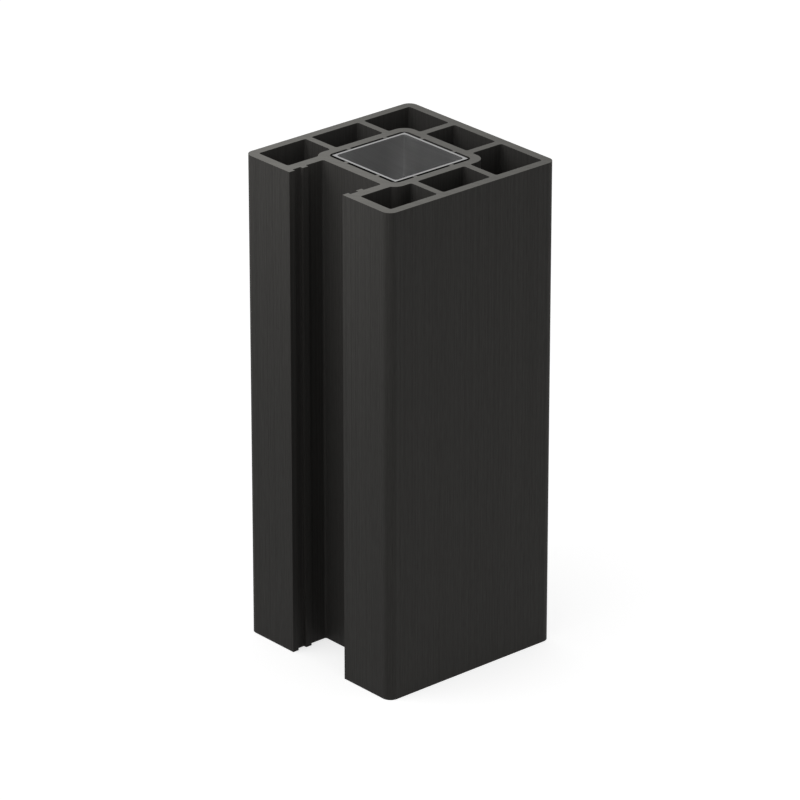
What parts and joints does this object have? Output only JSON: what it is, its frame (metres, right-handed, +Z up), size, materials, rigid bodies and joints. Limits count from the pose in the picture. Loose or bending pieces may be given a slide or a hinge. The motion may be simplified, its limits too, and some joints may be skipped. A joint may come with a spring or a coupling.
{
  "type": "composite fence post",
  "caption": "Short length of square wood-plastic composite fence post: chambered section, a lipped groove for boards in one face, and a square aluminium tube in its core.",
  "frame": {"origin": "centre of the post's foot, on the axis of the square section", "axes": "+Z up along the post, the panel groove opens towards -X, +X out of the closed back, +Y to the left for someone who looks along +X into the groove"},
  "size_m": [0.091, 0.091, 0.2184],
  "materials": {
    "composite": "matte",
    "aluminium": "satin"
  },
  "bodies": {
    "root": {"post_profile": "composite", "core_tube": "aluminium"}
  },
  "joints": []
}
